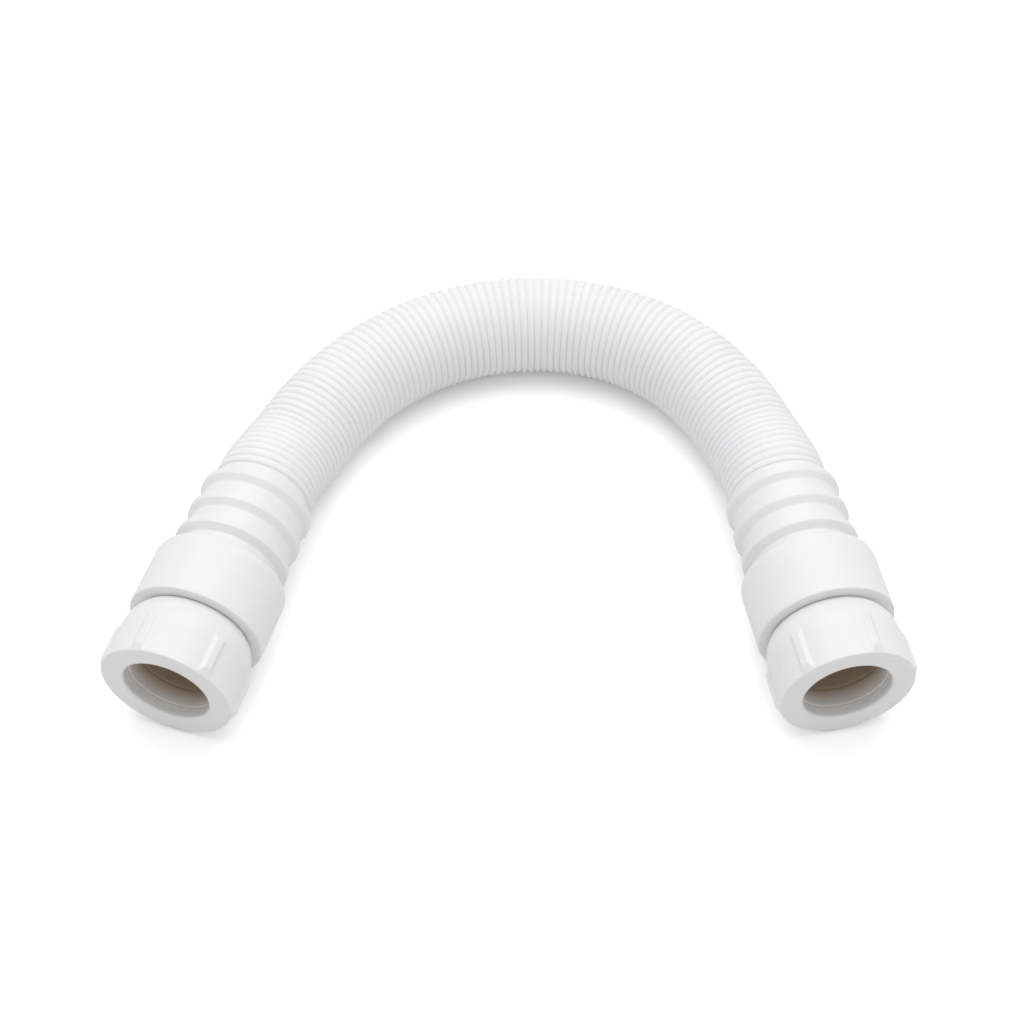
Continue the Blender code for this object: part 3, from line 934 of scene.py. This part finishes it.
# %% Floor
FLOOR_HALF = 4.0
FLOOR_DROP = 0.2 * MM
FLOOR_WHITE = 0.86
FLOOR_SEEN = 1.38
FADE_START = 0.45
FADE_END = 0.9


def add_floor():
    """One large white square just below the lowest point of the object."""
    mesh = bpy.data.meshes.new("studio_floor")
    corners = np.array([[-1, -1, 0], [1, -1, 0], [1, 1, 0], [-1, 1, 0]], float) * FLOOR_HALF
    corners[:, 2] = -FLOOR_DROP
    mesh.from_pydata(corners.tolist(), [], [(0, 1, 2, 3)])
    floor = bpy.data.objects.new("studio_floor", mesh)
    bpy.context.scene.collection.objects.link(floor)
    material, nodes, links = new_material("studio_white")
    shader = nodes["Principled BSDF"]
    shader.inputs["Base Color"].default_value = (FLOOR_WHITE, FLOOR_WHITE, FLOOR_WHITE, 1.0)
    shader.inputs["Roughness"].default_value = 0.9
    shader.inputs["Specular IOR Level"].default_value = 0.1
    bright = nodes.new("ShaderNodeBsdfDiffuse")
    bright.inputs["Color"].default_value = (FLOOR_SEEN, FLOOR_SEEN, FLOOR_SEEN, 1.0)
    white = nodes.new("ShaderNodeEmission")
    place = nodes.new("ShaderNodeTexCoord").outputs["Object"]
    away = nodes.new("ShaderNodeVectorMath")
    away.operation = "LENGTH"
    links.new(place, away.inputs[0])
    far = add_range(nodes, links, away.outputs["Value"], 0.0, 1.0, FADE_START, FADE_END)
    camera_floor = nodes.new("ShaderNodeMixShader")
    links.new(far, camera_floor.inputs["Fac"])
    links.new(bright.outputs["BSDF"], camera_floor.inputs[1])
    links.new(white.outputs["Emission"], camera_floor.inputs[2])
    seen = nodes.new("ShaderNodeLightPath")
    choice = nodes.new("ShaderNodeMixShader")
    links.new(seen.outputs["Is Camera Ray"], choice.inputs["Fac"])
    links.new(shader.outputs["BSDF"], choice.inputs[1])
    links.new(camera_floor.outputs["Shader"], choice.inputs[2])
    links.new(choice.outputs["Shader"], nodes["Material Output"].inputs["Surface"])
    mesh.materials.append(material)


add_floor()

# %% Lamp and sky
LAMP_PLACE = (0.0, 0.45, 1.5)
LAMP_AIM = (0.0, 0.0, 0.0)
LAMP_SIZE = 1.7
LAMP_WATTS = 12.8
SKY_STRENGTH = 0.67


def add_lamp(name, place, aim, size, power):
    """Square lamp at a place, turned towards its aim point."""
    data = bpy.data.lights.new(name, "AREA")
    data.shape = "SQUARE"
    data.size = size
    data.energy = power
    lamp = bpy.data.objects.new(name, data)
    lamp.location = place
    x, y, z = np.array(aim) - np.array(place)
    tilt = math.atan2(math.hypot(x, y), -z)
    heading = math.atan2(y, x) - math.pi / 2
    lamp.rotation_euler = (tilt, 0.0, heading)
    bpy.context.scene.collection.objects.link(lamp)


def add_sky(ambient):
    """White world: strength 1 where the camera or a reflection sees it, ambient as a light."""
    world = bpy.data.worlds.new("studio_sky")
    bpy.context.scene.world = world
    world.use_nodes = True
    nodes = world.node_tree.nodes
    links = world.node_tree.links
    background = nodes["Background"]
    background.inputs["Color"].default_value = (1.0, 1.0, 1.0, 1.0)
    rays = nodes.new("ShaderNodeLightPath")
    seen = rays.outputs["Is Camera Ray"]
    for ray in ("Is Glossy Ray", "Is Transmission Ray"):
        either = nodes.new("ShaderNodeMath")
        either.operation = "MAXIMUM"
        links.new(seen, either.inputs[0])
        links.new(rays.outputs[ray], either.inputs[1])
        seen = either.outputs["Value"]
    strength = add_range(nodes, links, seen, ambient, 1.0, 0.0, 1.0)
    links.new(strength, background.inputs["Strength"])


add_lamp("overhead_lamp", LAMP_PLACE, LAMP_AIM, LAMP_SIZE, LAMP_WATTS)
add_sky(SKY_STRENGTH)
bpy.context.scene.view_settings.view_transform = "Standard"
